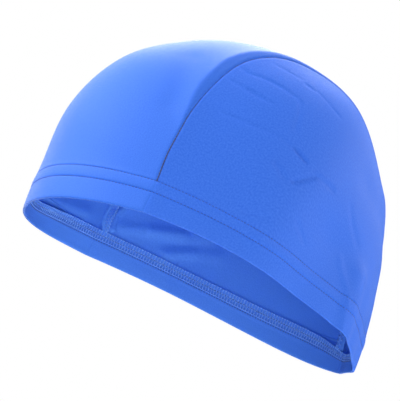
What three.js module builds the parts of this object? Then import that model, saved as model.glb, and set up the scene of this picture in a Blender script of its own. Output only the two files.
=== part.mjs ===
import * as THREE from 'three';

// A stretch swim cap as it is worn: three knitted panels, a turned-in hem and two inner seams.
// Millimetres and degrees. In the cap's own frame the rim lies near z = 0, the forehead is
// towards -Y and the wearer's left ear towards +X.

// Overall form
const rimLength = 205;
const rimWidth = 155;
const crownHeight = 148;
const earOffset = 4;
const earRise = 10;
const earRiseFade = 60;
const napeTaper = 0.127;
const crownRoundness = 2.2;
const wornTilt = 25;

// Cloth, hem and seams
const clothThickness = 1;
const hemHeight = 20.6;
const foldRoundHeight = 0.9;
const foldDrawIn = 0.6;
const hemStep = 0.5;
const seamGap = 0.3;
const seamRise = 2.6;
const seamSoftness = 20;
const seamSink = 0.45;
const allowanceWidth = 6;
const allowanceThickness = 1.4;
const allowanceLift = 1.2;
const allowanceGap = 0.5;

// Fineness of the faceted solids
const seamSteps = 34;
const sideRows = 10;
const centreColumns = 12;
const allowanceSteps = 34;
const allowanceStrips = 2;
const seatTurnStep = 0.5;

// Sections through the ear axis, turned from the forehead rim (0) over the crown (90) to the
// nape rim (180). Reach is a share of the plain ellipse through rim and crown, fullness is the
// squareness of the section, and seam is the half-width of the centre panel as a share of the
// half-width of the rim.
const sections = [
  { turn: 0, reach: 1, fullness: 2.4, seam: 0.895 },
  { turn: 15, reach: 1.044, fullness: 2.14, seam: 0.881 },
  { turn: 30, reach: 1.123, fullness: 1.99, seam: 0.865 },
  { turn: 45, reach: 1.134, fullness: 1.91, seam: 0.823 },
  { turn: 60, reach: 1.074, fullness: 2, seam: 0.733 },
  { turn: 75, reach: 1.02, fullness: 2.16, seam: 0.58 },
  { turn: 90, reach: 0.985, fullness: 2.31, seam: 0.427 },
  { turn: 105, reach: 1.002, fullness: 2.29, seam: 0.362 },
  { turn: 120, reach: 0.991, fullness: 2.11, seam: 0.306 },
  { turn: 150, reach: 1.007, fullness: 2.07, seam: 0.217 },
  { turn: 180, reach: 1, fullness: 2.2, seam: 0.152 },
];

// Folds and hollows, each along a line between two places on the skin. A place is a turn and a
// share of the half-width; height and width are shares of the crown height.
const folds = [
  { fromTurn: 180, fromSide: 0.43, toTurn: 154, toSide: 0.37, height: -0.023, width: 0.156 },
  { fromTurn: 180, fromSide: 0.77, toTurn: 152, toSide: 0.74, height: 0.02, width: 0.05 },
  { fromTurn: 177.5, fromSide: 0.95, toTurn: 141, toSide: 0.88, height: -0.034, width: 0.15 },
  { fromTurn: 138, fromSide: 0.25, toTurn: 123, toSide: 0.63, height: -0.01, width: 0.076 },
];

const halfWidth = rimWidth / 2;
const halfLength = rimLength / 2;
const frontReach = halfLength + earOffset;
const backReach = halfLength - earOffset;
const radians = THREE.MathUtils.degToRad;

// Fineness of the arithmetic
const bisections = 40;
const leanProbe = 0.001;
const pointsPerMillimetre = 1e4;

// The hem lies within this turn of the rim, and the top of the crown between these turns.
const hemTurnLimit = 60;
const crownTurns = { from: 30, to: 120 };

// Smooth curve through the rows of the section table.
function readSection(column, turn) {
  const last = sections.length - 2;
  let i = 0;
  while (i < last && turn > sections[i + 1].turn) i += 1;
  const slope = (k) => {
    const before = sections[Math.max(k - 1, 0)];
    const after = sections[Math.min(k + 1, sections.length - 1)];
    return (after[column] - before[column]) / (after.turn - before.turn);
  };
  const from = sections[i];
  const to = sections[i + 1];
  const span = to.turn - from.turn;
  const f = (turn - from.turn) / span;
  const rise = to[column] - from[column];
  const startBend = slope(i) * span - rise;
  const endBend = rise - slope(i + 1) * span;
  return from[column] + f * rise + f * (1 - f) * ((1 - f) * startBend + f * endBend);
}

// Reach of the skin from the ear axis, on the middle line of the cap.
function reachAt(turn) {
  const rimReach = turn < 90 ? frontReach : backReach;
  const across = Math.cos(radians(turn)) / rimReach;
  const up = Math.sin(radians(turn)) / crownHeight;
  return readSection('reach', turn) / Math.hypot(across, up);
}

// The lean is 0 on the ear axis and a quarter turn on the middle line of the cap.
function seamLean(turn) {
  return Math.acos(readSection('seam', turn) ** (crownRoundness / 2));
}

function plainPoint(turn, lean) {
  const radius = reachAt(turn) * Math.sin(lean) ** (2 / readSection('fullness', turn));
  const x = halfWidth * Math.max(Math.cos(lean), 0) ** (2 / crownRoundness);
  const y = earOffset - radius * Math.cos(radians(turn));
  return new THREE.Vector3(x, y, radius * Math.sin(radians(turn)));
}

function plainNormal(point) {
  const x = point.x / halfWidth ** 2;
  const y = (point.y - earOffset) / halfLength ** 2;
  return new THREE.Vector3(x, y, point.z / crownHeight ** 2).normalize();
}

const middleRadius = (halfLength + halfWidth + crownHeight) / 3;

function foldHeight(point) {
  let height = 0;
  for (const fold of folds) {
    const from = plainPoint(fold.fromTurn, Math.acos(fold.fromSide ** (crownRoundness / 2)));
    const to = plainPoint(fold.toTurn, Math.acos(fold.toSide ** (crownRoundness / 2)));
    const nearest = new THREE.Line3(from, to).closestPointToPoint(point, true, new THREE.Vector3());
    const share = nearest.distanceTo(point) / (fold.width * crownHeight);
    height += fold.height * crownHeight * Math.exp(-(share ** 2));
  }
  return height;
}

// A point of the skin and the way out of the cloth there. Side is 1 on the left half and -1 on
// the right half.
function skin(turn, lean, side) {
  const point = plainPoint(turn, lean);
  point.x *= side;
  const out = plainNormal(point);
  const fromSeam = Math.abs(lean - seamLean(turn)) * middleRadius;
  const rise = seamRise * (Math.exp(-fromSeam / seamSoftness) - seamSink);
  point.addScaledVector(out, rise + foldHeight(point));
  const along = point.y / halfLength;
  const fade = Math.exp(-Math.max(point.z, 0) / earRiseFade);
  point.z += earRise * (1 - along ** 2) * fade;
  point.x *= 1 - napeTaper * along;
  return { point, out };
}

function plainHeight(turn, lean) {
  return plainPoint(turn, lean).z;
}

// Bisection for the place between low and high where a rising measure reaches the goal.
function solve(measure, low, high, goal) {
  let from = low;
  let to = high;
  for (let step = 0; step < bisections; step += 1) {
    const middle = (from + to) / 2;
    if (measure(middle) < goal) from = middle;
    else to = middle;
  }
  return (from + to) / 2;
}

// Millimetres of cloth for each radian of lean.
function stretchAt(turn, lean) {
  return plainPoint(turn, lean).distanceTo(plainPoint(turn, lean - leanProbe)) / leanProbe;
}

// The edge of a panel, half a seam gap to one side of the seam line.
function edgeLean(turn, direction) {
  const lean = seamLean(turn);
  return lean + (direction * seamGap) / 2 / stretchAt(turn, lean);
}

// Rows of the hem from its folded edge up: height on the cloth, how far the outer face is drawn
// in, and how many layers of cloth lie there.
const hemRows = [
  { height: 0, drawnIn: foldDrawIn, layers: 2 },
  { height: foldRoundHeight, drawnIn: 0, layers: 2 },
  { height: hemHeight / 2, drawnIn: 0, layers: 2 },
  { height: hemHeight, drawnIn: 0, layers: 2 },
  { height: hemHeight + hemStep, drawnIn: 0, layers: 1 },
];

function layerPair(place, side, row) {
  const { point, out } = skin(place.turn, place.lean, side);
  const outer = point.clone().addScaledVector(out, -row.drawnIn);
  const depth = row.layers * clothThickness - row.drawnIn;
  return { outer, inner: point.clone().addScaledVector(out, -depth) };
}

const singleLayer = { drawnIn: 0, layers: 1 };

// A closed wall from a grid of outer and inner points. Repeated points are joined and faces
// without area are left out.
function wallFromGrid(grid, flip) {
  const positions = [];
  const numbers = new Map();
  const number = (p) => {
    const key = [p.x, p.y, p.z].map((value) => Math.round(value * pointsPerMillimetre)).join(' ');
    if (!numbers.has(key)) {
      numbers.set(key, positions.length / 3);
      positions.push(p.x, p.y, p.z);
    }
    return numbers.get(key);
  };
  const faces = [];
  const triangle = (a, b, c) => {
    if (a !== b && b !== c && c !== a) faces.push(...(flip ? [a, c, b] : [a, b, c]));
  };
  const quad = (a, b, c, d) => {
    const [i, j, k, l] = [a, b, c, d].map(number);
    triangle(i, j, k);
    triangle(i, k, l);
  };
  const rows = grid.length - 1;
  const columns = grid[0].length - 1;
  for (let i = 0; i < rows; i += 1) {
    for (let j = 0; j < columns; j += 1) {
      const [a, b, c, d] = [grid[i][j], grid[i][j + 1], grid[i + 1][j + 1], grid[i + 1][j]];
      quad(a.outer, b.outer, c.outer, d.outer);
      quad(a.inner, d.inner, c.inner, b.inner);
    }
  }
  for (let j = 0; j < columns; j += 1) {
    const [a, b] = [grid[0][j], grid[0][j + 1]];
    const [c, d] = [grid[rows][j], grid[rows][j + 1]];
    quad(a.outer, a.inner, b.inner, b.outer);
    quad(c.outer, d.outer, d.inner, c.inner);
  }
  for (let i = 0; i < rows; i += 1) {
    const [a, b] = [grid[i][0], grid[i + 1][0]];
    const [c, d] = [grid[i][columns], grid[i + 1][columns]];
    quad(a.outer, b.outer, b.inner, a.inner);
    quad(c.outer, c.inner, d.inner, d.outer);
  }
  const geometry = new THREE.BufferGeometry();
  geometry.setAttribute('position', new THREE.Float32BufferAttribute(positions, 3));
  geometry.setIndex(faces);
  geometry.computeVertexNormals();
  return geometry;
}

// Side panels are laid out on a flat half disc round the ear: u towards the forehead, v up.
function discPlace(u, v) {
  return { turn: THREE.MathUtils.radToDeg(Math.atan2(v, u)), lean: Math.hypot(u, v) };
}

function discPoint(turn, lean) {
  return [lean * Math.cos(radians(turn)), lean * Math.sin(radians(turn))];
}

// The turn at which the seam edge of a panel stands at a height, near the forehead or the nape.
function edgeTurn(height, direction, atNape) {
  const edgeHeight = (turn) => plainHeight(turn, edgeLean(turn, direction));
  if (height <= 0) return atNape ? 180 : 0;
  if (!atNape) return solve(edgeHeight, 0, hemTurnLimit, height);
  return 180 - solve((back) => edgeHeight(180 - back), 0, hemTurnLimit, height);
}

function sideHemRow(row) {
  const places = [];
  const front = edgeTurn(row.height, -1, false);
  const back = edgeTurn(row.height, -1, true);
  const [frontU] = discPoint(front, edgeLean(front, -1));
  const [backU] = discPoint(back, edgeLean(back, -1));
  for (let j = 0; j <= seamSteps; j += 1) {
    const u = THREE.MathUtils.lerp(backU, frontU, j / seamSteps);
    const heightAt = (v) => {
      const place = discPlace(u, v);
      return plainHeight(place.turn, place.lean);
    };
    places.push(discPlace(u, row.height > 0 ? solve(heightAt, 0, 1, row.height) : 0));
  }
  return places;
}

function sidePanel(side) {
  const grid = hemRows.map((row) => sideHemRow(row).map((place) => layerPair(place, side, row)));
  const topRow = hemRows[hemRows.length - 1];
  const base = sideHemRow(topRow);
  const front = edgeTurn(topRow.height, -1, false);
  const back = edgeTurn(topRow.height, -1, true);
  for (let i = 1; i <= sideRows; i += 1) {
    const pairs = [];
    for (let j = 0; j <= seamSteps; j += 1) {
      const turn = THREE.MathUtils.lerp(back, front, j / seamSteps);
      const [edgeU, edgeV] = discPoint(turn, edgeLean(turn, -1));
      const [baseU, baseV] = discPoint(base[j].turn, base[j].lean);
      const u = THREE.MathUtils.lerp(baseU, edgeU, i / sideRows);
      const v = THREE.MathUtils.lerp(baseV, edgeV, i / sideRows);
      pairs.push(layerPair(discPlace(u, v), side, singleLayer));
    }
    grid.push(pairs);
  }
  return wallFromGrid(grid, side > 0);
}

// Places across the centre panel: from its left edge (0) over the middle line to its right
// edge (1).
function centrePlace(turn, share) {
  const side = share < 0.5 ? 1 : -1;
  const fromMiddle = Math.abs(share - 0.5) * 2;
  const edge = edgeLean(turn, 1);
  return { turn, lean: Math.PI / 2 - fromMiddle * (Math.PI / 2 - edge), side };
}

function centreTurn(height, share, atNape) {
  const heightAt = (turn) => plainHeight(turn, centrePlace(turn, share).lean);
  if (height <= 0) return atNape ? 180 : 0;
  if (!atNape) return solve(heightAt, 0, hemTurnLimit, height);
  return 180 - solve((back) => heightAt(180 - back), 0, hemTurnLimit, height);
}

function centrePanel() {
  const shares = Array.from({ length: centreColumns + 1 }, (_, j) => j / centreColumns);
  const rowAcross = (turns, row) => shares.map((share, j) => {
    const place = centrePlace(turns[j], share);
    return layerPair(place, place.side, row);
  });
  const hemTurns = (row, atNape) => shares.map((share) => centreTurn(row.height, share, atNape));
  const grid = hemRows.map((row) => rowAcross(hemTurns(row, false), row));
  const topRow = hemRows[hemRows.length - 1];
  const front = hemTurns(topRow, false);
  const back = hemTurns(topRow, true);
  for (let i = 1; i < seamSteps; i += 1) {
    const turns = shares.map((share, j) => THREE.MathUtils.lerp(front[j], back[j], i / seamSteps));
    grid.push(rowAcross(turns, singleLayer));
  }
  for (const row of [...hemRows].reverse()) grid.push(rowAcross(hemTurns(row, true), row));
  return wallFromGrid(grid, true);
}

// The overlocked edges of a seam lie inside on the side panel, from hem to hem.
function seamAllowance(side) {
  const start = hemHeight + hemStep + allowanceGap;
  const front = edgeTurn(start, -1, false);
  const back = edgeTurn(start, -1, true);
  const grid = [];
  for (let i = 0; i <= allowanceSteps; i += 1) {
    const turn = THREE.MathUtils.lerp(front, back, i / allowanceSteps);
    const seam = seamLean(turn);
    const stretch = stretchAt(turn, seam);
    const pairs = [];
    for (let j = 0; j <= allowanceStrips; j += 1) {
      const share = j / allowanceStrips;
      const { point, out } = skin(turn, seam - (share * allowanceWidth) / stretch, side);
      const depth = clothThickness + allowanceGap + allowanceLift * share;
      const outer = point.clone().addScaledVector(out, -depth);
      pairs.push({ outer, inner: point.clone().addScaledVector(out, -depth - allowanceThickness) });
    }
    grid.push(pairs);
  }
  return wallFromGrid(grid, side < 0);
}

function cloth(color) {
  return new THREE.MeshStandardMaterial({ color, roughness: 0.7, metalness: 0, side: THREE.FrontSide });
}

function piece(name, geometry, material) {
  const mesh = new THREE.Mesh(geometry, material);
  mesh.name = name;
  return mesh;
}

const cap = new THREE.Group();
cap.add(piece('centre_panel', centrePanel(), cloth(0x2f62d6)));
cap.add(piece('left_side_panel', sidePanel(1), cloth(0x2858cc)));
cap.add(piece('right_side_panel', sidePanel(-1), cloth(0x2858cc)));
cap.add(piece('left_seam_allowance', seamAllowance(1), cloth(0x2450bb)));
cap.add(piece('right_seam_allowance', seamAllowance(-1), cloth(0x2450bb)));

// The cap is worn with the forehead raised. The origin is where the top of the head carries it:
// the highest inner point of its middle line.
function headSeat() {
  const tilt = new THREE.Euler(radians(-wornTilt), 0, 0);
  let seat = new THREE.Vector3(0, 0, -crownHeight);
  for (let turn = crownTurns.from; turn <= crownTurns.to; turn += seatTurnStep) {
    const { point, out } = skin(turn, Math.PI / 2, 1);
    point.addScaledVector(out, -clothThickness);
    point.x = 0;
    point.applyEuler(tilt);
    if (point.z > seat.z) seat = point;
  }
  return seat;
}

cap.rotation.x = radians(-wornTilt);
cap.position.copy(headSeat()).negate();

const swimCap = new THREE.Group();
swimCap.add(cap);

export default swimCap;
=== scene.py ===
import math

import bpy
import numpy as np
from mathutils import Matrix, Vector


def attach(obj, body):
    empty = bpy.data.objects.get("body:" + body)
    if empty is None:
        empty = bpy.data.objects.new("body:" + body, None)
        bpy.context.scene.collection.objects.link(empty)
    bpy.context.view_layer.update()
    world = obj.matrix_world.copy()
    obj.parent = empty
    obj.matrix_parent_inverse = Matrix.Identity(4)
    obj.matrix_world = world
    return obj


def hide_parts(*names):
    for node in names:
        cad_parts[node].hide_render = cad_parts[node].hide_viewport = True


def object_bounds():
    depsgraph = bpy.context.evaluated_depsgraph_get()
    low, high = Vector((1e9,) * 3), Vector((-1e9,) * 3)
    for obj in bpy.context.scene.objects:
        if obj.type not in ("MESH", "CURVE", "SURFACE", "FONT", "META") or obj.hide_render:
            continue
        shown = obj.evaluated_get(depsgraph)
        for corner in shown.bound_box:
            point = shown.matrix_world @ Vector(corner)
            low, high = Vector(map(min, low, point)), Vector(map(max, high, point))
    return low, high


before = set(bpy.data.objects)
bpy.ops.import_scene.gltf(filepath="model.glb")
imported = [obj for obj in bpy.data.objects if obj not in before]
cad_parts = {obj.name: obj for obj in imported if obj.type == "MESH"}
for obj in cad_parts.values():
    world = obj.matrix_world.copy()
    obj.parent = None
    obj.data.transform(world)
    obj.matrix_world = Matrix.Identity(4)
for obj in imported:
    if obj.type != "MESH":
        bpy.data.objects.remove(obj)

# A stretch swim cap as it is worn: three knitted panels cut from one blue cloth, joined by two
# overlocked seams, with a coverstitched hem round the opening. Metres and degrees. In the cap's
# own frame the rim lies near z = 0, the forehead is towards -Y and the left ear towards +X.

cad_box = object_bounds()
bpy.ops.object.select_all(action="DESELECT")

# Overall form
RIM_LENGTH = 0.205
RIM_WIDTH = 0.155
CROWN_HEIGHT = 0.148
EAR_OFFSET = 0.004
EAR_RISE = 0.010
EAR_RISE_FADE = 0.060
NAPE_TAPER = 0.127
CROWN_ROUNDNESS = 2.2
WORN_TILT = 25
WALL = 0.001
SEAM_RISE = 0.0026
SEAM_SOFTNESS = 0.020
SEAM_SINK = 0.45
SEAT_TURNS = np.arange(30, 120.5, 0.5)

HALF_WIDTH = RIM_WIDTH / 2
HALF_LENGTH = RIM_LENGTH / 2
MIDDLE_RADIUS = (HALF_LENGTH + HALF_WIDTH + CROWN_HEIGHT) / 3
FRONT_REACH = HALF_LENGTH + EAR_OFFSET
BACK_REACH = HALF_LENGTH - EAR_OFFSET
QUARTER = math.pi / 2
LEAN_PROBE = 0.001
BISECTIONS = 36
HEM_TURN_LIMIT = 60.0

# Cloth, hem and seams
SHEET = 0.0007
HEM_HEIGHT = 0.0206
LOWER_ROW = 0.0125
UPPER_ROW = 0.0191
STITCH_PITCH = 0.0018
LAYER_GAP = 0.00015
SEAM_GAP = 0.00004
HEM_ZONE = 0.024

# The hem's profile: the cloth comes down outside, turns round the fold and goes up inside.
OUTER_SINK = SHEET / 2
INNER_SINK = SHEET * 1.5 + LAYER_GAP
FOLD_RADIUS = (INNER_SINK - OUTER_SINK) / 2
FOLD_HEIGHT = FOLD_RADIUS + SHEET / 2

# Sections through the ear axis, turned from the forehead rim (0) over the crown (90) to the nape
# rim (180). Reach is a share of the plain ellipse through rim and crown, fullness is the
# squareness of the section, and seam is the half-width of the centre panel as a share of the
# half-width of the rim.
SECTIONS = np.array([
    (0, 1, 2.4, 0.895),
    (15, 1.044, 2.14, 0.881),
    (30, 1.123, 1.99, 0.865),
    (45, 1.134, 1.91, 0.823),
    (60, 1.074, 2, 0.733),
    (75, 1.02, 2.16, 0.58),
    (90, 0.985, 2.31, 0.427),
    (105, 1.002, 2.29, 0.362),
    (120, 0.991, 2.11, 0.306),
    (150, 1.007, 2.07, 0.217),
    (180, 1, 2.2, 0.152),
], dtype=[("turn", float), ("reach", float), ("fullness", float), ("seam", float)])

# Folds, creases and soft waves of the cloth, each along a line between two places on the skin. A
# place is a turn and a share of the half-width, below 0 on the right half. Height and width are
# in millimetres.
LINE = [("from_turn", float), ("from_side", float), ("to_turn", float), ("to_side", float),
        ("height", float), ("width", float)]
FOLDS = np.array([
    (180, 0.43, 154, 0.37, -3.4, 23.1),
    (180, 0.77, 152, 0.74, 2.96, 7.4),
    (177.5, 0.95, 141, 0.88, -5.03, 22.2),
    (138, 0.25, 123, 0.63, -1.48, 11.25),
], dtype=LINE)
CREASES = np.array([
    (69, 0.661, 71, 0.69, -0.25, 1.1),
    (71, 0.69, 77, 0.709, -0.25, 1.1),
    (77, 0.709, 81, 0.725, -0.35, 1.1),
    (81, 0.725, 86.5, 0.745, -0.22, 1.1),
    (87.5, 0.752, 88.2, 0.805, -0.45, 1.3),
    (88.2, 0.805, 87.8, 0.86, -0.4, 1.3),
    (65.5, 0.727, 70, 0.762, -0.2, 1.1),
    (70, 0.762, 75, 0.791, -0.55, 1.1),
    (75, 0.791, 78.5, 0.803, -0.2, 1.1),
    (79, 0.595, 83, 0.613, -0.15, 0.9),
    (83, 0.613, 87, 0.614, -0.15, 0.9),
    (88.5, 0.635, 90.5, 0.64, -0.32, 1.2),
    (92, 0.633, 97.5, 0.668, -0.2, 1.1),
    (97.5, 0.668, 100.5, 0.677, -0.35, 1.2),
    (60, 0.829, 71, 0.869, -0.25, 1.3),
    (71, 0.869, 83, 0.888, -0.4, 1.2),
    (83, 0.888, 91, 0.901, -0.4, 1.1),
    (91, 0.901, 96.5, 0.908, -1.2, 1.1),
    (83.5, 0.937, 90.8, 0.952, -0.7, 1.3),
    (95.6, 0.95, 98.8, 0.942, -1.1, 1.1),
    (98.8, 0.942, 104.5, 0.91, -0.95, 1.1),
    (104.5, 0.91, 114, 0.87, -0.8, 1.2),
    (124, 0.8, 130, 0.794, -0.3, 2.0),
    (130, 0.794, 139, 0.762, -0.35, 2.0),
    (114, 0.967, 131, 0.955, -0.35, 1.3),
    (64, 0.985, 88, 0.989, -0.35, 1.3),
    (180, 0.8, 161, 0.8, 0.6, 2.2),
    (161, 0.8, 145, 0.84, 0.5, 2.6),
    (128, 0.3, 136, 0.31, 1.1, 8.0),
    (180, 0.22, 172, 0.26, 0.8, 10.0),
    (57, 0.56, 45, 0.755, -0.55, 6.5),
], dtype=LINE)
INNER_WAVES = np.array([
    (33, -0.923, 52, -0.951, -1.3, 4.5),
    (52, -0.951, 81, -0.97, -2.1, 4.5),
    (81, -0.97, 100, -0.963, -1.0, 5.0),
    (66, -0.985, 97, -0.984, -1.6, 4.0),
    (97, -0.984, 115, -0.957, -1.0, 4.5),
    (12, -0.55, 20, -0.8, -1.2, 4.5),
    (40, -0.884, 33, -0.889, -2.2, 2.5),
    (33, -0.889, 26, -0.905, -2.2, 2.5),
], dtype=LINE)

# Inside, the hem sags towards its fold near the forehead (end -1) and near the nape (end 1). Place
# and width lie across the cap, from the left (above 0) to the right. Millimetres.
HEM_DIPS = np.array([
    (-1, -27, 30, 7.2),
    (1, 0, 30, 10),
], dtype=[("end", float), ("place", float), ("width", float), ("depth", float)])

# The centre panel rolls over beside the seams. The rolled edge lies this far inside the seam, in
# millimetres.
ROLL = np.array([
    (0, 0), (42, 0), (49, 2.5), (56, 6.5), (65, 8.5), (80, 5), (100, 2), (180, 2),
], dtype=[("turn", float), ("place", float)])


def read_section(column, turn):
    """Smooth curve through the rows of the section table."""
    turns = SECTIONS["turn"]
    values = SECTIONS[column]
    last = len(turns) - 1
    rows = np.arange(last + 1)
    before = np.maximum(rows - 1, 0)
    after = np.minimum(rows + 1, last)
    slopes = (values[after] - values[before]) / (turns[after] - turns[before])
    i = np.clip(np.searchsorted(turns, turn, side="right") - 1, 0, last - 1)
    span = turns[i + 1] - turns[i]
    f = (turn - turns[i]) / span
    rise = values[i + 1] - values[i]
    start_bend = slopes[i] * span - rise
    end_bend = rise - slopes[i + 1] * span
    return values[i] + f * rise + f * (1 - f) * ((1 - f) * start_bend + f * end_bend)


def lean_at(side_share):
    """The lean is 0 on the ear axis and a quarter turn on the middle line of the cap."""
    return np.arccos(np.clip(side_share, 0, 1) ** (CROWN_ROUNDNESS / 2))


def seam_lean(turn):
    return lean_at(read_section("seam", turn))


def plain_point(turn, lean):
    """Point of the plain form on its left half, from a turn and a lean."""
    angle = np.radians(turn)
    rim = np.where(turn < 90, FRONT_REACH, BACK_REACH)
    ellipse = 1 / np.hypot(np.cos(angle) / rim, np.sin(angle) / CROWN_HEIGHT)
    fullness = read_section("fullness", turn)
    radius = read_section("reach", turn) * ellipse * np.sin(lean) ** (2 / fullness)
    x = HALF_WIDTH * np.clip(np.cos(lean), 0, 1) ** (2 / CROWN_ROUNDNESS)
    return np.stack([x, EAR_OFFSET - radius * np.cos(angle), radius * np.sin(angle)], -1)


def plain_normal(point):
    slope = (point - np.array([0, EAR_OFFSET, 0]))
    slope = slope / np.array([HALF_WIDTH, HALF_LENGTH, CROWN_HEIGHT]) ** 2
    return slope / np.linalg.norm(slope, axis=-1, keepdims=True)


def place_on_skin(turn, side_share):
    point = plain_point(np.float64(turn), lean_at(abs(side_share)))
    return point * np.array([math.copysign(1, side_share), 1, 1])


def line_reliefs(point, lines):
    """Height of each soft fold in a table at each point of the plain form."""
    heights = []
    for line in lines:
        start = place_on_skin(line["from_turn"], line["from_side"])
        way = place_on_skin(line["to_turn"], line["to_side"]) - start
        share = np.clip((point - start) @ way / (way @ way), 0, 1)
        away = np.linalg.norm(point - start - share[..., None] * way, axis=-1)
        heights.append(line["height"] / 1000 * np.exp(-((away * 1000 / line["width"]) ** 2)))
    return np.array(heights)


def chained_relief(point, lines):
    """Folds that run on from one row of a table to the next, without a bump where they meet."""
    heights = line_reliefs(point, lines)
    return heights.max(0, initial=0) + heights.min(0, initial=0)


# Relief of the seams and the hem
ROLL_ROUND = 0.0012
ROLL_HEIGHT = 0.0007
ROLL_WIDTH = 0.006
MIDDLE_ROUND = 0.006
VALLEY_DEPTH = 0.0011
VALLEY_WIDTH = 0.00055
VALLEY_IN_HEM = 0.2
VALLEY_TURNS = (36, 56)
VALLEY_AT_FRONT = 0.45
VALLEY_FADE = 0.0006
PUCKER_DEPTH = 0.00012
PUCKER_LENGTH = 0.0045
ROW_DEPTH = 0.0004
ROW_WIDTH = 0.0005
PUFF_HEIGHT = 0.00028
BAND_HEIGHT = 0.0002
HEM_FADE = 0.0003


def stretch_at(turn, lean):
    """Metres of cloth for each radian of lean."""
    step = plain_point(turn, lean) - plain_point(turn, lean - LEAN_PROBE)
    return np.linalg.norm(step, axis=-1) / LEAN_PROBE


def panel_rise(turn, lean):
    """The cloth stands highest on the rolled edges of the centre panel and sinks away from them."""
    from_middle = (QUARTER - lean) * MIDDLE_RADIUS
    rounded = (from_middle ** 2 / MIDDLE_ROUND + MIDDLE_ROUND) / 2
    from_middle = np.where(from_middle < MIDDLE_ROUND, rounded, from_middle)
    roll = (QUARTER - seam_lean(turn)) * MIDDLE_RADIUS
    roll = roll - np.interp(turn, ROLL["turn"], ROLL["place"]) / 1000
    away = np.hypot(from_middle - roll, ROLL_ROUND) - ROLL_ROUND
    rise = SEAM_RISE * (np.exp(-away / SEAM_SOFTNESS) - SEAM_SINK)
    return rise + ROLL_HEIGHT * np.sin(np.radians(turn)) * np.exp(-away / ROLL_WIDTH)


def seam_valley(turn, lean, height):
    """The narrow pulled line of the seam, a little deeper at each stitch and shallow in the hem."""
    seam = seam_lean(turn)
    away = np.abs(lean - seam) * stretch_at(turn, seam)
    pucker = np.sin(np.radians(turn) * MIDDLE_RADIUS * 2 * math.pi / PUCKER_LENGTH)
    above = 1 / (1 + np.exp(np.clip((UPPER_ROW - height) / VALLEY_FADE, -30, 30)))
    depth = (VALLEY_DEPTH + PUCKER_DEPTH * pucker) * (VALLEY_IN_HEM + (1 - VALLEY_IN_HEM) * above)
    depth *= np.interp(turn, VALLEY_TURNS, (VALLEY_AT_FRONT, 1))
    return depth * np.exp(-away / VALLEY_WIDTH)


def hem_relief(height):
    """The two sunk stitch rows with the puffed strip between them, and the fuller double band."""
    rows = np.exp(-(((height - LOWER_ROW) / ROW_WIDTH) ** 2))
    rows = rows + np.exp(-(((height - UPPER_ROW) / ROW_WIDTH) ** 2))
    between = (height - LOWER_ROW) / (UPPER_ROW - LOWER_ROW)
    puff = np.clip(4 * between * (1 - between), 0, 1)
    band = BAND_HEIGHT / (1 + np.exp((height - HEM_HEIGHT) / HEM_FADE))
    return PUFF_HEIGHT * puff + band - ROW_DEPTH * rows


def cloth(turn, lean, side, sunk=0.0):
    """Points of the worn cloth and the way out of it there. Side is 1 on the left half and -1 on
    the right half, and sunk is how deep below the outer face the points lie."""
    turn, lean, side, sunk = np.broadcast_arrays(turn, lean, side, sunk)
    plain = plain_point(turn, lean)
    point = plain * np.stack([side, np.ones_like(side), np.ones_like(side)], -1)
    out = plain_normal(point)
    height = plain[..., 2]
    rise = panel_rise(turn, lean) - seam_valley(turn, lean, height) + hem_relief(height)
    rise = rise + line_reliefs(point, FOLDS).sum(0)
    rise = rise + chained_relief(point, CREASES) + chained_relief(point, INNER_WAVES)
    point = point + out * rise[..., None]
    along = point[..., 1] / HALF_LENGTH
    inside = np.clip((sunk - OUTER_SINK) / (INNER_SINK - OUTER_SINK), 0, 1)
    level = height / HEM_HEIGHT
    inside = inside * np.clip(level, 0, 1) * np.clip(2 - level, 0, 1)
    for dip in HEM_DIPS:
        across = (point[..., 0] * 1000 - dip["place"]) / dip["width"]
        share = np.exp(-(across ** 2)) * np.clip(along * dip["end"], 0, 1)
        point[..., 2] -= dip["depth"] / 1000 * share * inside
    lift = EAR_RISE * (1 - along ** 2) * np.exp(-np.maximum(point[..., 2], 0) / EAR_RISE_FADE)
    point[..., 2] += lift
    point[..., 0] *= 1 - NAPE_TAPER * along
    return point - out * sunk[..., None], out


def tilted(vectors):
    """Vectors of the cap's own frame, turned so that the forehead edge is raised as worn."""
    c = math.cos(math.radians(WORN_TILT))
    s = math.sin(math.radians(WORN_TILT))
    x, y, z = np.moveaxis(np.asarray(vectors), -1, 0)
    return np.stack([x, c * y + s * z, c * z - s * y], -1)


def bare_skin_top():
    """The highest inner point of the middle line, where the top of the head carries the cap."""
    turn = SEAT_TURNS
    plain = plain_point(turn, np.full_like(turn, QUARTER))
    out = plain_normal(plain)
    away = np.abs(QUARTER - seam_lean(turn)) * MIDDLE_RADIUS
    rise = SEAM_RISE * (np.exp(-away / SEAM_SOFTNESS) - SEAM_SINK)
    point = plain + out * (rise + line_reliefs(plain, FOLDS).sum(0))[:, None]
    along = point[:, 1] / HALF_LENGTH
    point[:, 2] += EAR_RISE * (1 - along ** 2) * np.exp(-np.maximum(point[:, 2], 0) / EAR_RISE_FADE)
    point = point - out * WALL
    point[:, 0] = 0
    point = tilted(point)
    return point[np.argmax(point[:, 2])]


SEAT = bare_skin_top()


def worn(points):
    """Points of the cap's own frame at their place in the shared frame."""
    return tilted(points) - SEAT


# Places on the cloth

def disc_place(u, v):
    """The side panels are laid out on a flat half disc: u towards the forehead, v up."""
    return np.degrees(np.arctan2(v, u)), np.minimum(np.hypot(u, v), QUARTER)


def disc_point(turn, lean):
    return np.stack([lean * np.cos(np.radians(turn)), lean * np.sin(np.radians(turn))], -1)


def solve(measure, low, high, goal):
    """Bisection for the place between low and high where a rising measure reaches the goal."""
    low = np.array(low, float)
    high = np.array(high, float)
    for _ in range(BISECTIONS):
        middle = (low + high) / 2
        short = measure(middle) < goal
        low = np.where(short, middle, low)
        high = np.where(short, high, middle)
    return (low + high) / 2


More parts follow.
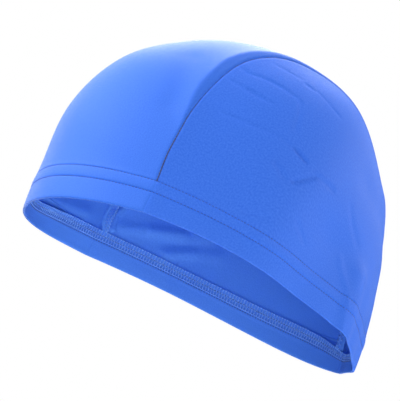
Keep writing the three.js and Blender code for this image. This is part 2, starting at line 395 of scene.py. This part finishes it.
def edge_lean(turn, direction):
    """The edge of a panel, half a seam gap to one side of the seam line."""
    lean = seam_lean(turn)
    return lean + direction * SEAM_GAP / 2 / stretch_at(turn, lean)


def edge_turn(height, at_nape):
    """The turn at which the seam line stands at a height, near the forehead or the nape."""
    def edge_height(turn):
        return plain_point(turn, edge_lean(turn, -1))[..., 2]
    if at_nape:
        back = solve(lambda turned: edge_height(180 - turned), 0.0, HEM_TURN_LIMIT, height)
        return 180 - back
    return solve(edge_height, 0.0, HEM_TURN_LIMIT, height)


def half_hem(height, share, front_u, back_u):
    """Turn and lean round one half of the hem at a height, by shares from nape to forehead."""
    u = back_u + (front_u - back_u) * share
    def height_at(v):
        return plain_point(*disc_place(u, v))[..., 2]
    return disc_place(u, solve(height_at, np.zeros_like(u), np.ones_like(u), height))


def shares(middle_steps, edge_mm, length_mm):
    """Rising shares from 0 to 1 with fine steps beside both ends."""
    edge = np.array(edge_mm) / length_mm
    middle = np.linspace(edge[-1], 1 - edge[-1], middle_steps + 1)
    return np.concatenate([edge[:-1], middle, 1 - edge[-2::-1]])


EDGE_STEPS_MM = (0, 0.25, 0.5, 0.8, 1.2, 1.7, 2.4, 3.2)
ROLL_STEPS_MM = EDGE_STEPS_MM + (4, 4.7, 5.4, 6.1, 6.8, 7.5, 8.2, 8.9, 9.6, 10.4, 11.4)
ROW_STEPS = np.array([-2, -1.2, -0.6, 0, 0.6, 1.2, 2])
HEM_OUTER_STEPS = 28
HEM_INNER_STEPS = 14
FOLD_STEPS = 6


def hem_profile():
    """Heights and depths of the sheet from its cut edge inside to the top of the hem zone."""
    inner = np.linspace(HEM_HEIGHT, FOLD_HEIGHT, HEM_INNER_STEPS + 1)
    swing = np.linspace(math.pi, 0, FOLD_STEPS + 1)[1:-1]
    even = np.linspace(FOLD_HEIGHT, HEM_ZONE, HEM_OUTER_STEPS + 1)
    beside = ROW_STEPS * ROW_WIDTH
    outer = np.unique(np.concatenate([even, LOWER_ROW + beside, UPPER_ROW + beside]))
    heights = np.concatenate([inner, FOLD_HEIGHT - FOLD_RADIUS * np.sin(swing), outer])
    middle = (INNER_SINK + OUTER_SINK) / 2
    depths = np.concatenate([np.full_like(inner, INNER_SINK), middle - FOLD_RADIUS * np.cos(swing),
                             np.full_like(outer, OUTER_SINK)])
    return heights, depths


# Making meshes

SMOOTH_ANGLE = 50


def only(piece):
    bpy.ops.object.select_all(action="DESELECT")
    piece.select_set(True)
    bpy.context.view_layer.objects.active = piece


def sheet_from_grid(name, points, uv):
    """A grid primitive whose vertices are laid on the cloth, row by row."""
    rows, columns = points.shape[:2]
    bpy.ops.mesh.primitive_grid_add(x_subdivisions=columns - 1, y_subdivisions=rows - 1, size=1)
    sheet = bpy.context.active_object
    sheet.name = name
    mesh = sheet.data
    mesh.name = name
    mesh.vertices.foreach_set("co", points.reshape(-1))
    corner = np.zeros(len(mesh.loops), np.int32)
    mesh.loops.foreach_get("vertex_index", corner)
    layer = mesh.uv_layers.active
    layer.uv.foreach_set("vector", uv.reshape(-1, 2)[corner].reshape(-1))
    mesh.update()
    return sheet


def turn_outwards():
    """The active piece's faces all look out of its own cloth."""
    bpy.ops.object.mode_set(mode="EDIT")
    bpy.ops.mesh.select_all(action="SELECT")
    bpy.ops.mesh.normals_make_consistent(inside=False)
    bpy.ops.object.mode_set(mode="OBJECT")


def finish_sheet(sheet, thickness):
    """The sheet gets its thickness, outward normals and smooth shading. Faces that look into the
    cap are marked for the wrong side of the cloth."""
    only(sheet)
    turn_outwards()
    bpy.ops.object.modifier_add(type="SOLIDIFY")
    wall = sheet.modifiers[-1]
    wall.thickness = thickness
    wall.offset = 0
    wall.use_even_offset = True
    wall.use_rim = True
    bpy.ops.object.modifier_apply(modifier=wall.name)
    turn_outwards()
    bpy.ops.object.shade_smooth_by_angle(angle=math.radians(SMOOTH_ANGLE))
    head = Vector((0, 0, -CROWN_HEIGHT / 2))
    for face in sheet.data.polygons:
        face.material_index = int(face.normal.dot(face.center - head) < 0)
    return sheet


def threads(name, paths, radius):
    """Sewing thread: each path is a line of points, made one mesh of round threads."""
    data = bpy.data.curves.new(name, "CURVE")
    data.dimensions = "3D"
    data.bevel_depth = radius
    data.bevel_resolution = 1
    data.use_fill_caps = True
    for path in paths:
        spline = data.splines.new("POLY")
        spline.points.add(len(path) - 1)
        spline.points.foreach_set("co", np.column_stack([path, np.ones(len(path))]).reshape(-1))
    piece = bpy.data.objects.new(name, data)
    bpy.context.collection.objects.link(piece)
    only(piece)
    bpy.ops.object.convert(target="MESH")
    piece = bpy.context.active_object
    bpy.ops.object.shade_smooth()
    return piece


# The panels

SIDE_COLUMNS = 210
SIDE_ROWS = 96
CENTRE_COLUMNS = 68
CENTRE_ROWS = 260
SIDE_TOP_TURNS = (140.0, 40.0)
SIDE_LENGTH_MM = 190
SIDE_HEIGHT_MM = 105
CENTRE_WIDTH_MM = 110


def side_panel(name, side):
    share = shares(SIDE_COLUMNS, EDGE_STEPS_MM, SIDE_LENGTH_MM)
    heights, depths = hem_profile()
    turns = []
    leans = []
    for height in heights:
        ends = [disc_point(edge, edge_lean(edge, -1))[0] for edge in
                (edge_turn(height, False), edge_turn(height, True))]
        turn, lean = half_hem(height, share, *ends)
        turns.append(turn)
        leans.append(lean)
    base = disc_point(turns[-1], leans[-1])
    back_turn = edge_turn(HEM_ZONE, True)
    front_turn = edge_turn(HEM_ZONE, False)
    rise = shares(SIDE_ROWS, EDGE_STEPS_MM, SIDE_HEIGHT_MM)[1:]

    def seam_place(turn):
        return disc_point(turn, edge_lean(turn, -1))

    left = seam_place(back_turn + (SIDE_TOP_TURNS[0] - back_turn) * rise)
    right = seam_place(front_turn + (SIDE_TOP_TURNS[1] - front_turn) * rise)
    top = seam_place(SIDE_TOP_TURNS[0] + (SIDE_TOP_TURNS[1] - SIDE_TOP_TURNS[0]) * share)
    for r, from_back, from_front in zip(rise, left, right):
        across = share[:, None]
        level = (1 - r) * base + r * top
        level = level + (1 - across) * (from_back - (1 - r) * base[0] - r * top[0])
        level = level + across * (from_front - (1 - r) * base[-1] - r * top[-1])
        turn, lean = disc_place(level[:, 0], level[:, 1])
        turns.append(turn)
        leans.append(lean)
    turn = np.array(turns)
    lean = np.array(leans)
    depth = np.concatenate([depths, np.full(len(rise), OUTER_SINK)])[:, None]
    points, _ = cloth(turn, lean, float(side), depth)
    uv = disc_point(turn, lean) * MIDDLE_RADIUS
    return finish_sheet(sheet_from_grid(name, worn(points), uv), SHEET)


def centre_place(turn, share):
    """Lean and side across the centre panel, from its left edge (0) to its right edge (1)."""
    edge = edge_lean(turn, 1)
    return QUARTER - np.abs(share - 0.5) * 2 * (QUARTER - edge), np.where(share < 0.5, 1.0, -1.0)


def centre_turn(height, share, at_nape):
    def height_at(turn):
        return plain_point(turn, centre_place(turn, share)[0])[..., 2]
    low = np.zeros_like(share)
    high = np.full_like(share, HEM_TURN_LIMIT)
    if at_nape:
        return 180 - solve(lambda turned: height_at(180 - turned), low, high, height)
    return solve(height_at, low, high, height)


def centre_panel(name):
    share = shares(CENTRE_COLUMNS, ROLL_STEPS_MM, CENTRE_WIDTH_MM)
    heights, depths = hem_profile()
    front = [centre_turn(height, share, False) for height in heights]
    back = [centre_turn(height, share, True) for height in heights]
    body = [front[-1] + (back[-1] - front[-1]) * step / CENTRE_ROWS
            for step in range(1, CENTRE_ROWS)]
    turn = np.array(front + body + back[::-1])
    depth = np.concatenate([depths, np.full(len(body), OUTER_SINK), depths[::-1]])[:, None]
    lean, side = centre_place(turn, share[None, :])
    points, _ = cloth(turn, lean, side, depth)
    across = (QUARTER - lean) * side * MIDDLE_RADIUS
    along = np.radians(turn) * CROWN_HEIGHT
    return finish_sheet(sheet_from_grid(name, worn(points), np.stack([along, across], -1)), SHEET)


# Stitches of the hem

def read_line(where, distance, rows):
    """Rows of points or directions, read between their distances along a line."""
    return np.stack([np.interp(where, distance, rows[:, k]) for k in range(3)], -1)


HEM_SAMPLES = 500


class HemLine:
    """A line round the cap at one height on the cloth, read by the distance along it."""

    def __init__(self, height, sunk=0.0):
        share = np.linspace(0, 1, HEM_SAMPLES)
        front = centre_turn(height, np.array([0.5]), False)[0]
        back = centre_turn(height, np.array([0.5]), True)[0]
        front_u = QUARTER * math.cos(math.radians(front))
        back_u = QUARTER * math.cos(math.radians(back))
        turn, lean = half_hem(height, share, front_u, back_u)
        left, left_out = cloth(turn[::-1], lean[::-1], 1.0, sunk)
        right, right_out = cloth(turn[1:], lean[1:], -1.0, sunk)
        self.points = worn(np.concatenate([left, right]))
        self.out = tilted(np.concatenate([left_out, right_out]))
        steps = np.linalg.norm(np.diff(self.points, axis=0), axis=1)
        self.distance = np.concatenate([[0], np.cumsum(steps)])
        self.length = self.distance[-1]

    def at(self, share, out=0.0):
        """Points at shares of the line's length, moved out of the cloth."""
        where = (share % 1) * self.length
        point = read_line(where, self.distance, self.points)
        normal = read_line(where, self.distance, self.out)
        normal /= np.linalg.norm(normal, axis=-1, keepdims=True)
        return point + normal * np.broadcast_to(out, share.shape)[..., None]


NEEDLE_THREAD = 0.0002
LOOPER_THREAD = 0.0003
LOOP_THREAD = 0.00033
LOOPER_PITCH = 0.0019
LOOP_DROP = 0.0002
BAND_RISE = 0.0011
INNER_SHORTENING = 0.75
NEEDLE_ALONG = np.array([0.2, 0.3, 0.5, 0.7, 0.8])
NEEDLE_OUT = np.array([-0.0003, 0.00002, 0.0001, 0.00002, -0.0003])
LOOPER_STEPS = 16
LOOPER_SWAY = 0.17
LOOP_ALONG = np.array([-0.28, 0, 0.28])
THREAD_REST = 0.7
THREAD_LIFT = 1.6


def needle_stitches_painted_shade(name):
    """Two rows of short needle stitches, each dipping into the cloth at both ends. Inside, the
    needle threads show as one row below the looper band and one along its middle. The thread's
    dark colour is painted shade of the sunk stitch rows."""
    paths = []
    for height in (LOWER_ROW, UPPER_ROW):
        line = HemLine(height)
        count = round(line.length / STITCH_PITCH)
        for stitch in range(count):
            paths.append(line.at((stitch + NEEDLE_ALONG) / count, NEEDLE_OUT))
    middle = (LOWER_ROW + UPPER_ROW) / 2 + BAND_RISE
    for height, out in ((LOWER_ROW - LOOP_DROP, 0), (middle, LOOPER_THREAD * THREAD_LIFT)):
        line = HemLine(height, INNER_SINK)
        count = round(line.length / STITCH_PITCH)
        for stitch in range(count):
            along = stitch + 0.5 + (NEEDLE_ALONG - 0.5) * INNER_SHORTENING
            paths.append(line.at(along / count, -SHEET / 2 - out - NEEDLE_OUT))
    return threads(name, paths, NEEDLE_THREAD)


def looper_band(name):
    """The looper thread inside the hem: a zigzag between the needle rows, with the small loops
    of the needle threads that hold it along both edges."""
    lower = HemLine(LOWER_ROW + BAND_RISE, INNER_SINK)
    upper = HemLine(UPPER_ROW + BAND_RISE, INNER_SINK)
    count = round(upper.length / LOOPER_PITCH)
    inside = -(SHEET / 2 + LOOPER_THREAD * THREAD_REST)
    turns = np.linspace(0, count, count * LOOPER_STEPS + 1)
    share = (turns - LOOPER_SWAY * np.sin(4 * math.pi * turns)) / count
    across = 0.5 - 0.5 * np.cos(2 * math.pi * turns)
    low = lower.at(share, inside)
    high = upper.at(share, inside)
    band = threads(name, [low + (high - low) * across[:, None]], LOOPER_THREAD)
    loops = []
    lift = np.array([0, LOOP_THREAD * THREAD_LIFT, 0])
    for line in (lower, upper):
        for loop in range(count):
            loops.append(line.at((loop + 0.5 + LOOP_ALONG) / count, inside - lift))
    joined = threads(name + "_loops", loops, LOOP_THREAD)
    only(band)
    joined.select_set(True)
    bpy.ops.object.join()
    return band


# Seams and their allowances

SEAM_STITCH_PITCH = 0.0017
SEAM_THREAD = 0.00034
SEAM_SAMPLES = 800
SEAM_ALONG = np.array([0.06, 0.2, 0.5, 0.8, 0.94])
SEAM_IN = np.array([0.0004, 0.0001, 0, 0.0001, 0.0004])


def seam_stitches_painted_shade(name, side):
    """The needle thread that shows down in the pulled seam, between the two panels. Its near-black
    colour is painted shade along the seam's valley.
    """
    start = float(edge_turn(UPPER_ROW, False))
    stop = float(edge_turn(UPPER_ROW, True))
    turn = np.linspace(start, stop, SEAM_SAMPLES)
    point, out = cloth(turn, seam_lean(turn), float(side))
    distance = np.concatenate([[0], np.cumsum(np.linalg.norm(np.diff(point, axis=0), axis=1))])
    count = round(distance[-1] / SEAM_STITCH_PITCH)
    out = tilted(out)
    line = worn(point) + out * SEAM_THREAD
    paths = []
    for stitch in range(count):
        where = (stitch + SEAM_ALONG) / count * distance[-1]
        path = read_line(where, distance, line)
        away = read_line(where, distance, out)
        paths.append(path - away * SEAM_IN[:, None])
    return threads(name, paths, SEAM_THREAD)


ALLOWANCE_WIDTH = 0.0056
ALLOWANCE_THICKNESS = 0.0011
ALLOWANCE_GAP = 0.0001
ALLOWANCE_ROWS = 360
ALLOWANCE_COLUMNS = 13
ALLOWANCE_START = 0.0004
ALLOWANCE_SAMPLES = 400
CURL = 0.8
CURL_WAVE = 0.3
CURL_WAVE_LENGTH = 0.031
FRONT_CURL = 0.7
FRONT_CURL_PLACE = 0.009
FRONT_CURL_REACH = 0.007
TUCK = 0.003
TUCK_LENGTH = 0.005
OVERLOCK_PITCH = 0.0021
OVERLOCK_STEPS = 16
OVERLOCK_SWAY = 0.2
OVERLOCK_MIDDLE = 0.75
OVERLOCK_SWING = 0.27
EDGE_LOOP_LAG = 0.3
EDGE_LOOP_SWING = 0.05


class SeamLine:
    """The inside of a seam, read by the distance along it and away from it."""

    def __init__(self, side):
        self.side = float(side)
        start = HEM_HEIGHT + ALLOWANCE_START
        front = float(edge_turn(start, False))
        back = float(edge_turn(start, True))
        turn = np.linspace(front, back, ALLOWANCE_SAMPLES)
        point, _ = cloth(turn, seam_lean(turn), self.side)
        steps = np.linalg.norm(np.diff(point, axis=0), axis=1)
        self.turn = turn
        self.distance = np.concatenate([[0], np.cumsum(steps)])
        self.length = self.distance[-1]

    def at(self, share, away, inward):
        """Points at shares of the seam's length, away from it on the side panel and inward."""
        turn = np.interp(share * self.length, self.distance, self.turn)
        lean = seam_lean(turn) - away / stretch_at(turn, seam_lean(turn))
        point, _ = cloth(turn, lean, self.side, SHEET + inward)
        return worn(point)

    def strip(self, share, across, off):
        """Points on the allowance from seam (0) to cut edge (1), off its middle. It curls away
        from the cloth, most of all near the forehead, and its end is tucked into the hem."""
        distance = share * self.length
        near_front = np.exp(-((distance - FRONT_CURL_PLACE) / FRONT_CURL_REACH) ** 2)
        wave = CURL_WAVE * np.sin(distance / CURL_WAVE_LENGTH * 2 * math.pi)
        curl = CURL + wave * (1 - near_front) + FRONT_CURL * near_front
        turned = curl * across
        tuck = TUCK * np.clip(1 - distance / TUCK_LENGTH, 0, 1) * (1 - across)
        away = ALLOWANCE_WIDTH * np.sin(turned) / curl + tuck - off * np.sin(turned)
        inward = ALLOWANCE_WIDTH * (1 - np.cos(turned)) / curl + off * np.cos(turned)
        return self.at(share, away, ALLOWANCE_GAP + ALLOWANCE_THICKNESS / 2 + inward)


def seam_allowance(name, side):
    """The two joined seam edges, standing off the side panel."""
    seam = SeamLine(side)
    share = np.linspace(0, 1, ALLOWANCE_ROWS)[:, None]
    across = np.linspace(0, 1, ALLOWANCE_COLUMNS)[None, :]
    points = seam.strip(*np.broadcast_arrays(share, across, 0.0))
    uv = np.stack(np.broadcast_arrays(share * seam.length, across * ALLOWANCE_WIDTH), -1)
    return finish_sheet(sheet_from_grid(name, points, uv), ALLOWANCE_THICKNESS)


def overlock_threads(name, side):
    """Overlock loops over the cut edge of the allowance, and the loops that run along it."""
    seam = SeamLine(side)
    count = round(seam.length / OVERLOCK_PITCH)
    turns = np.linspace(0, count, count * OVERLOCK_STEPS + 1)
    swing = 2 * math.pi * turns
    off = ALLOWANCE_THICKNESS / 2 + LOOPER_THREAD * THREAD_REST
    share = np.clip((turns - OVERLOCK_SWAY * np.sin(2 * swing)) / count, 0, 1)
    top = seam.strip(share, OVERLOCK_MIDDLE - OVERLOCK_SWING * np.cos(swing), off)
    edge_share = np.clip((turns + EDGE_LOOP_LAG) / count, 0, 1)
    edge = seam.strip(edge_share, 1.0 + EDGE_LOOP_SWING * np.cos(swing), off * np.sin(swing))
    return threads(name, [top, edge], LOOPER_THREAD)


# Finishes

def new_group(name, inputs, outputs):
    group = bpy.data.node_groups.new(name, "ShaderNodeTree")
    for label, kind, value in inputs:
        socket = group.interface.new_socket(label, in_out="INPUT", socket_type=kind)
        if value is not None:
            socket.default_value = value
    for label, kind in outputs:
        group.interface.new_socket(label, in_out="OUTPUT", socket_type=kind)
    return group, group.nodes.new("NodeGroupInput"), group.nodes.new("NodeGroupOutput")


def maths(tree, operation, *values):
    """A Math node with its inputs linked or set, giving its output."""
    node = tree.nodes.new("ShaderNodeMath")
    node.operation = operation
    for socket, value in zip(node.inputs, values):
        if isinstance(value, (int, float)):
            socket.default_value = value
        else:
            tree.links.new(value, socket)
    return node.outputs[0]


KNIT_WALE = 0.0006
KNIT_COURSE = 0.0005
KNIT_SLANT = 1.6
MOTTLE_SCALE = 1150
KNIT_GROOVE_SHADE_IN_TONE = 0.4
MOTTLE_IN_TONE = 2.4
TONE_START = -0.9


def knit_group():
    """Fine stretch knit: wales of small V-shaped stitches, from a cloth map in metres."""
    group, given, made = new_group(
        "fine_knit",
        [("Cloth", "NodeSocketVector", None), ("Wale", "NodeSocketFloat", KNIT_WALE),
         ("Course", "NodeSocketFloat", KNIT_COURSE)],
        [("Height", "NodeSocketFloat"), ("Mottle", "NodeSocketFloat")])
    parts = group.nodes.new("ShaderNodeSeparateXYZ")
    group.links.new(given.outputs["Cloth"], parts.inputs[0])
    wale = maths(group, "DIVIDE", parts.outputs[1], given.outputs["Wale"])
    course = maths(group, "DIVIDE", parts.outputs[0], given.outputs["Course"])
    across = maths(group, "SUBTRACT", maths(group, "FRACT", wale), 0.5)
    from_middle = maths(group, "ABSOLUTE", across)
    slant = maths(group, "MULTIPLY_ADD", from_middle, KNIT_SLANT, course)
    yarn = maths(group, "SINE", maths(group, "MULTIPLY", slant, 2 * math.pi))
    column = maths(group, "SINE", maths(group, "MULTIPLY", from_middle, 2 * math.pi))
    height = maths(group, "MULTIPLY", maths(group, "MULTIPLY_ADD", yarn, 0.5, 0.5), column)
    group.links.new(height, made.inputs["Height"])
    noise = group.nodes.new("ShaderNodeTexNoise")
    noise.inputs["Scale"].default_value = MOTTLE_SCALE
    noise.inputs["Detail"].default_value = 3
    group.links.new(given.outputs["Cloth"], noise.inputs["Vector"])
    group.links.new(noise.outputs["Fac"], made.inputs["Mottle"])
    return group


KNIT = knit_group()


def cloth_material(name, color, deep_color, sheen, bump=0.35):
    """Blue polyester knit with a soft sheen, its tone mottled at random and darker on the low yarn
    between the stitches as painted shade.
    """
    material = bpy.data.materials.new(name)
    material.use_nodes = True
    tree = material.node_tree
    shader = tree.nodes["Principled BSDF"]
    shader.inputs["Roughness"].default_value = 0.62
    shader.inputs["Specular IOR Level"].default_value = 0.2
    shader.inputs["Sheen Weight"].default_value = sheen
    shader.inputs["Sheen Roughness"].default_value = 0.32
    shader.inputs["Sheen Tint"].default_value = (0.75, 0.85, 1, 1)
    cloth_map = tree.nodes.new("ShaderNodeUVMap")
    cloth_map.uv_map = "UVMap"
    knit = tree.nodes.new("ShaderNodeGroup")
    knit.node_tree = KNIT
    tree.links.new(cloth_map.outputs[0], knit.inputs["Cloth"])
    tone = tree.nodes.new("ShaderNodeMix")
    tone.data_type = "RGBA"
    tone.inputs["A"].default_value = (*deep_color, 1)
    tone.inputs["B"].default_value = (*color, 1)
    mottle = maths(tree, "MULTIPLY_ADD", knit.outputs["Mottle"], MOTTLE_IN_TONE, TONE_START)
    # Painted shade: the stitch height also darkens the tone in the knit's low grooves.
    shade = maths(tree, "MULTIPLY_ADD", knit.outputs["Height"], KNIT_GROOVE_SHADE_IN_TONE, mottle)
    tree.links.new(shade, tone.inputs["Factor"])
    tree.links.new(tone.outputs["Result"], shader.inputs["Base Color"])
    relief = tree.nodes.new("ShaderNodeBump")
    relief.inputs["Strength"].default_value = bump
    relief.inputs["Distance"].default_value = 0.0001
    tree.links.new(knit.outputs["Height"], relief.inputs["Height"])
    tree.links.new(relief.outputs[0], shader.inputs["Normal"])
    return material


TWIST_MOTTLE_AND_SHADE = 2.5
TWIST_START = -0.75


def thread_material(name, color, deep_color, fineness):
    """Twisted polyester thread, its tone mottled at random and darker in the twist's low parts as
    painted shade.
    """
    material = bpy.data.materials.new(name)
    material.use_nodes = True
    tree = material.node_tree
    shader = tree.nodes["Principled BSDF"]
    shader.inputs["Roughness"].default_value = 0.5
    shader.inputs["Sheen Weight"].default_value = 0.2
    place = tree.nodes.new("ShaderNodeTexCoord")
    twist = tree.nodes.new("ShaderNodeTexNoise")
    twist.inputs["Scale"].default_value = fineness
    twist.inputs["Detail"].default_value = 1
    tree.links.new(place.outputs["Object"], twist.inputs["Vector"])
    tone = tree.nodes.new("ShaderNodeMix")
    tone.data_type = "RGBA"
    tone.inputs["A"].default_value = (*deep_color, 1)
    tone.inputs["B"].default_value = (*color, 1)
    # Random tone and painted shade: the twist's low parts, where the bump sinks, take the deeper
    # colour.
    shade = maths(tree, "MULTIPLY_ADD", twist.outputs["Fac"], TWIST_MOTTLE_AND_SHADE, TWIST_START)
    tree.links.new(shade, tone.inputs["Factor"])
    tree.links.new(tone.outputs["Result"], shader.inputs["Base Color"])
    relief = tree.nodes.new("ShaderNodeBump")
    relief.inputs["Strength"].default_value = 0.4
    relief.inputs["Distance"].default_value = 0.00005
    tree.links.new(twist.outputs["Fac"], relief.inputs["Height"])
    tree.links.new(relief.outputs[0], shader.inputs["Normal"])
    return material


def dress(piece, materials):
    for material in materials:
        piece.data.materials.append(material)
    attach(piece, "root")
    return piece


CENTRE_CLOTH = cloth_material("centre_cloth", (0.045, 0.184, 0.77), (0.024, 0.127, 0.69), 0.5)
SIDE_CLOTH = cloth_material("side_cloth", (0.055, 0.195, 0.82), (0.029, 0.14, 0.75), 0.08)
WRONG_SIDE = cloth_material("cloth_wrong_side", (0.092, 0.285, 0.88), (0.06, 0.21, 0.79), 0.05)
# Painted light: the seam allowance is the panels' cloth, coloured lighter so the curled flap looks
# lit.
SEAM_CLOTH_PAINTED_LIGHT = cloth_material("seam_cloth_painted_light", (0.14, 0.38, 0.96), (0.09, 0.28, 0.84), 0.1, 0.5)
# Painted highlight: the looper thread is the cloth's blue, coloured lighter for the lit dots of the
# looper band and overlock loops.
THREAD_PAINTED_HIGHLIGHT = thread_material("looper_thread_painted_highlight", (0.19, 0.45, 1), (0.07, 0.22, 0.75), 1600)
# Painted shade: the needle thread is the cloth's blue, coloured dark for the shade in the sunk
# stitch rows.
STITCH_PAINTED_SHADE = thread_material("needle_thread_painted_shade", (0.02, 0.075, 0.38), (0.009, 0.035, 0.21), 2600)
# Painted shade: the seam thread's near-black colour stands in for the shade down in the seam's
# valley.
SEAM_THREAD_PAINTED_SHADE = thread_material("seam_thread_painted_shade", (0.01, 0.035, 0.2), (0.006, 0.022, 0.14), 2600)

# The cap

centre = dress(centre_panel("centre_cloth_panel"), (CENTRE_CLOTH, WRONG_SIDE))
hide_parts("centre_panel")
for label, side in (("left", 1), ("right", -1)):
    panel = dress(side_panel(label + "_cloth_panel", side), (SIDE_CLOTH, WRONG_SIDE))
    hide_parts(label + "_side_panel")
    allowance = seam_allowance(label + "_seam_edge", side)
    dress(allowance, (SEAM_CLOTH_PAINTED_LIGHT, SEAM_CLOTH_PAINTED_LIGHT))
    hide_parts(label + "_seam_allowance")
    dress(overlock_threads(label + "_overlock", side), (THREAD_PAINTED_HIGHLIGHT,))
    dress(seam_stitches_painted_shade(label + "_seam_stitches_painted_shade", side), (SEAM_THREAD_PAINTED_SHADE,))
dress(needle_stitches_painted_shade("hem_needle_stitches"), (STITCH_PAINTED_SHADE,))
dress(looper_band("hem_looper_band"), (THREAD_PAINTED_HIGHLIGHT,))

# Floor, light and camera

VIEW_AZIMUTH = 73.17
VIEW_ELEVATION = -11.19
VIEW_DISTANCE = 0.5642
VIEW_AIM = Vector((0, -0.0098, -0.0904))
LENS = 90
FLOOR_DROP = 0.45
FLOOR_RADIUS = 1.4
FLOOR_FADE = (0.5, 1.35)
SOFTBOX = 0.75
SMALL_SOFTBOX = 0.5
FAR = 0.95
NEAR = 0.85


def direction(azimuth, elevation):
    a = math.radians(azimuth)
    e = math.radians(elevation)
    return Vector((math.sin(a) * math.cos(e), -math.cos(a) * math.cos(e), math.sin(e)))


def floor():
    """A pale disc, far below the cap, that fades into the surround."""
    bpy.ops.mesh.primitive_circle_add(vertices=96, radius=FLOOR_RADIUS, fill_type="NGON",
                                      location=(0, 0, cad_box[0].z - FLOOR_DROP))
    disc = bpy.context.active_object
    disc.name = "floor"
    material = bpy.data.materials.new("pale_floor")
    material.use_nodes = True
    tree = material.node_tree
    shader = tree.nodes["Principled BSDF"]
    shader.inputs["Base Color"].default_value = (0.9, 0.9, 0.9, 1)
    shader.inputs["Roughness"].default_value = 0.9
    place = tree.nodes.new("ShaderNodeTexCoord")
    away = tree.nodes.new("ShaderNodeVectorMath")
    away.operation = "LENGTH"
    tree.links.new(place.outputs["Object"], away.inputs[0])
    fade = tree.nodes.new("ShaderNodeMapRange")
    fade.inputs["From Min"].default_value = FLOOR_FADE[0]
    fade.inputs["From Max"].default_value = FLOOR_FADE[1]
    fade.inputs["To Min"].default_value = 1
    fade.inputs["To Max"].default_value = 0
    tree.links.new(away.outputs["Value"], fade.inputs["Value"])
    tree.links.new(fade.outputs[0], shader.inputs["Alpha"])
    disc.data.materials.append(material)


def soft_light(name, azimuth, elevation, distance, size, watts):
    data = bpy.data.lights.new(name, "AREA")
    data.shape = "DISK"
    data.size = size
    data.energy = watts
    lamp = bpy.data.objects.new(name, data)
    bpy.context.collection.objects.link(lamp)
    way = direction(azimuth, elevation)
    lamp.location = VIEW_AIM + way * distance
    lamp.rotation_euler = way.to_track_quat("Z", "Y").to_euler()
    lamp.visible_camera = False


def daylight():
    """An even white surround, which gives much less light than the eye sees in it."""
    world = bpy.data.worlds.new("surround")
    bpy.context.scene.world = world
    world.use_nodes = True
    tree = world.node_tree
    light = tree.nodes["Background"]
    light.inputs["Color"].default_value = (1, 1, 1, 1)
    light.inputs["Strength"].default_value = 0.06
    seen = tree.nodes.new("ShaderNodeBackground")
    seen.inputs["Color"].default_value = (1, 1, 1, 1)
    seen.inputs["Strength"].default_value = 1.0
    path = tree.nodes.new("ShaderNodeLightPath")
    both = tree.nodes.new("ShaderNodeMixShader")
    tree.links.new(path.outputs["Is Camera Ray"], both.inputs[0])
    tree.links.new(light.outputs[0], both.inputs[1])
    tree.links.new(seen.outputs[0], both.inputs[2])
    tree.links.new(both.outputs[0], tree.nodes["World Output"].inputs["Surface"])


def camera():
    data = bpy.data.cameras.new("camera")
    data.lens = LENS
    eye = bpy.data.objects.new("camera", data)
    bpy.context.collection.objects.link(eye)
    way = direction(VIEW_AZIMUTH, VIEW_ELEVATION)
    eye.location = VIEW_AIM + way * VIEW_DISTANCE
    eye.rotation_euler = way.to_track_quat("Z", "Y").to_euler()
    bpy.context.scene.camera = eye


floor()
soft_light("top_softbox", 72, 85, FAR, SOFTBOX, 3.3)
soft_light("front_softbox", 0, 45, FAR, SOFTBOX, 13.6)
soft_light("rear_softbox", 240, 50, FAR, SOFTBOX, 13)
soft_light("back_softbox", 180, 12, FAR, SOFTBOX, 4.5)
soft_light("side_softbox", 150, 10, FAR, SOFTBOX, 3.0)
soft_light("low_softbox", 76, -10, NEAR, SMALL_SOFTBOX, 2.9)
soft_light("bounce_softbox", 50, -42, NEAR, SMALL_SOFTBOX, 1.9)
daylight()
camera()
bpy.context.scene.view_settings.view_transform = "Standard"
